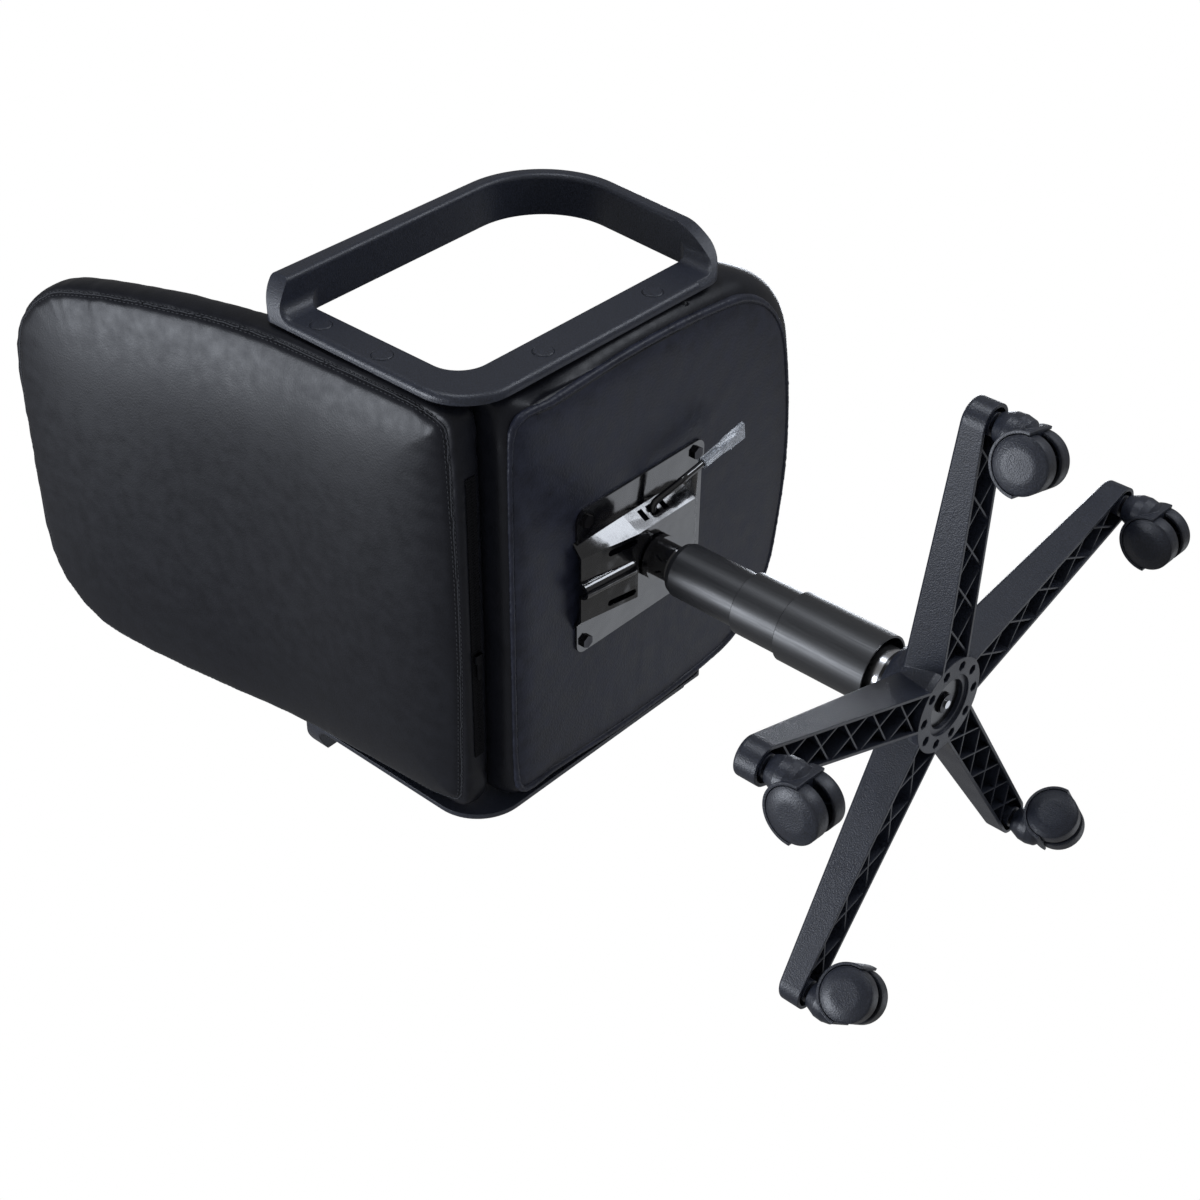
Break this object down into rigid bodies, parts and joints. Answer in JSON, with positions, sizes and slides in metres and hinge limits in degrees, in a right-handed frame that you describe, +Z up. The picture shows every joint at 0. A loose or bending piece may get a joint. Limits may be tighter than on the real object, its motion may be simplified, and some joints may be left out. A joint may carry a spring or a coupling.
{
  "type": "executive office chair",
  "caption": "Upholstered swivel chair with loop arms on a gas lift with telescopic sleeves and a star base on twin-wheel casters; it turns, rises and rolls.",
  "frame": {"origin": "on the floor, on the gas lift's axis", "axes": "+Z up, -Y to the front of the chair, +X to the sitter's left"},
  "size_m": [0.5777, 0.5873, 1.0005],
  "materials": {
    "black_leatherette": "soft sheen, fine grain",
    "black_nylon": "matt, fine spark texture",
    "black_sleeve_plastic": "satin",
    "clear_grip_plastic": "polished, smoky",
    "guide_plastic": "as moulded",
    "black_painted_steel": "gloss black",
    "bright_steel": "bright drawn",
    "zinc_steel": "dull zinc",
    "bumper_rubber": "matt",
    "plywood": "raw",
    "zip_tape_fabric": "woven",
    "zip_metal": "black lacquer"
  },
  "bodies": {
    "base": {"star_base": "black_nylon", "column_tube": "bright_steel", "guide_bush": "guide_plastic", "thrust_washer_lower": "zinc_steel", "thrust_bearing": "zinc_steel"},
    "spindle": {"piston_rod": "bright_steel", "thrust_washer_upper": "zinc_steel", "bumper": "bumper_rubber", "clip_washer": "zinc_steel", "retaining_clip": "zinc_steel"},
    "seat": {"lift_tube": "bright_steel", "tube_end_guide": "guide_plastic", "cover_upper": "black_sleeve_plastic", "seat_plate": "black_painted_steel", "cylinder_socket": "black_painted_steel", "plate_bolts": "zinc_steel", "seat_frame": "plywood", "seat_t_nuts": "zinc_steel", "seat_cushion": "black_leatherette", "seat_bottom_cover": "black_leatherette", "back_frame": "plywood", "back_t_nuts": "zinc_steel", "back_cushion": "black_leatherette", "zip_tape": "zip_tape_fabric", "arm_left": "black_nylon", "arm_right": "black_nylon", "arm_bolts": "zinc_steel", "arm_caps": "black_nylon"},
    "lever": {"lift_lever": "black_painted_steel", "lever_grip": "clear_grip_plastic"},
    "button": {"release_button": "bright_steel"},
    "sleeve_middle": {"cover_middle": "black_sleeve_plastic"},
    "sleeve_lower": {"cover_lower": "black_sleeve_plastic"},
    "zip": {"zip_slider": "zip_metal"},
    "caster_1": {"caster_1_hood": "black_nylon", "caster_1_stem": "zinc_steel", "caster_1_axle": "zinc_steel"},
    "wheel_1a": {"caster_1_wheel_a": "black_nylon"},
    "wheel_1b": {"caster_1_wheel_b": "black_nylon"},
    "caster_2": {"caster_2_hood": "black_nylon", "caster_2_stem": "zinc_steel", "caster_2_axle": "zinc_steel"},
    "wheel_2a": {"caster_2_wheel_a": "black_nylon"},
    "wheel_2b": {"caster_2_wheel_b": "black_nylon"},
    "caster_3": {"caster_3_hood": "black_nylon", "caster_3_stem": "zinc_steel", "caster_3_axle": "zinc_steel"},
    "wheel_3a": {"caster_3_wheel_a": "black_nylon"},
    "wheel_3b": {"caster_3_wheel_b": "black_nylon"},
    "caster_4": {"caster_4_hood": "black_nylon", "caster_4_stem": "zinc_steel", "caster_4_axle": "zinc_steel"},
    "wheel_4a": {"caster_4_wheel_a": "black_nylon"},
    "wheel_4b": {"caster_4_wheel_b": "black_nylon"},
    "caster_5": {"caster_5_hood": "black_nylon", "caster_5_stem": "zinc_steel", "caster_5_axle": "zinc_steel"},
    "wheel_5a": {"caster_5_wheel_a": "black_nylon"},
    "wheel_5b": {"caster_5_wheel_b": "black_nylon"}
  },
  "joints": [
    {"name": "seat_swivel", "type": "hinge", "parent": "base", "child": "spindle", "pos_m": [0, 0, 0.08], "axis": [0, 0, 1], "continuous": true},
    {"name": "seat_lift", "type": "slide", "parent": "spindle", "child": "seat", "axis": [0, 0, 1], "range_m": [-0.1, 0], "stiffness_N_per_m": 300, "springref_m": 1},
    {"name": "middle_sleeve", "type": "slide", "parent": "base", "child": "sleeve_middle", "axis": [0, 0, 1], "range_m": [-0.05, 0]},
    {"name": "lower_sleeve", "type": "slide", "parent": "base", "child": "sleeve_lower", "axis": [0, 0, 1], "range_m": [-0.015, 0]},
    {"name": "lift_lever", "type": "hinge", "parent": "seat", "child": "lever", "pos_m": [-0.0435, -0.008, 0.414], "axis": [-0.872, 0.4895, 0], "range_deg": [0, 8.5]},
    {"name": "release_button", "type": "slide", "parent": "seat", "child": "button", "axis": [0, 0, 1], "range_m": [-0.0044, 0]},
    {"name": "zip_slide", "type": "slide", "parent": "seat", "child": "zip", "axis": [1, 0, 0], "range_m": [-0.18, 0.1]},
    {"name": "caster_1_swivel", "type": "hinge", "parent": "base", "child": "caster_1", "pos_m": [-0.28271, -0.01284, 0.06], "axis": [0, 0, 1], "continuous": true},
    {"name": "wheel_1a_spin", "type": "hinge", "parent": "caster_1", "child": "wheel_1a", "pos_m": [-0.26581, -0.00831, 0.025], "axis": [-0.2588, 0.9659, 0], "continuous": true},
    {"name": "wheel_1b_spin", "type": "hinge", "parent": "caster_1", "child": "wheel_1b", "pos_m": [-0.26581, -0.00831, 0.025], "axis": [-0.2588, 0.9659, 0], "continuous": true},
    {"name": "caster_2_swivel", "type": "hinge", "parent": "base", "child": "caster_2", "pos_m": [-0.07515, -0.27284, 0.06], "axis": [0, 0, 1], "continuous": true},
    {"name": "wheel_2a_spin", "type": "hinge", "parent": "caster_2", "child": "wheel_2a", "pos_m": [-0.05768, -0.27192, 0.025], "axis": [-0.0523, 0.9986, 0], "continuous": true},
    {"name": "wheel_2b_spin", "type": "hinge", "parent": "caster_2", "child": "wheel_2b", "pos_m": [-0.05768, -0.27192, 0.025], "axis": [-0.0523, 0.9986, 0], "continuous": true},
    {"name": "caster_3_swivel", "type": "hinge", "parent": "base", "child": "caster_3", "pos_m": [0.23626, -0.15579, 0.06], "axis": [0, 0, 1], "continuous": true},
    {"name": "wheel_3a_spin", "type": "hinge", "parent": "caster_3", "child": "wheel_3a", "pos_m": [0.22648, -0.17029, 0.025], "axis": [0.829, -0.5592, 0], "continuous": true},
    {"name": "wheel_3b_spin", "type": "hinge", "parent": "caster_3", "child": "wheel_3b", "pos_m": [0.22648, -0.17029, 0.025], "axis": [0.829, -0.5592, 0], "continuous": true},
    {"name": "caster_4_swivel", "type": "hinge", "parent": "base", "child": "caster_4", "pos_m": [0.22117, 0.17656, 0.06], "axis": [0, 0, 1], "continuous": true},
    {"name": "wheel_4a_spin", "type": "hinge", "parent": "caster_4", "child": "wheel_4a", "pos_m": [0.20796, 0.16508, 0.025], "axis": [0.6561, -0.7547, 0], "continuous": true},
    {"name": "wheel_4b_spin", "type": "hinge", "parent": "caster_4", "child": "wheel_4b", "pos_m": [0.20796, 0.16508, 0.025], "axis": [0.6561, -0.7547, 0], "continuous": true},
    {"name": "caster_5_swivel", "type": "hinge", "parent": "base", "child": "caster_5", "pos_m": [-0.09957, 0.26491, 0.06], "axis": [0, 0, 1], "continuous": true},
    {"name": "wheel_5a_spin", "type": "hinge", "parent": "caster_5", "child": "wheel_5a", "pos_m": [-0.08214, 0.26643, 0.025], "axis": [-0.0872, 0.9962, 0], "continuous": true},
    {"name": "wheel_5b_spin", "type": "hinge", "parent": "caster_5", "child": "wheel_5b", "pos_m": [-0.08214, 0.26643, 0.025], "axis": [-0.0872, 0.9962, 0], "continuous": true}
  ],
  "couplings": [
    {"joint": "middle_sleeve", "follows": "seat_lift", "ratio": 0.5},
    {"joint": "lower_sleeve", "follows": "seat_lift", "ratio": 0.15},
    {"joint": "release_button", "follows": "lift_lever", "m_per_rad": -0.029}
  ]
}
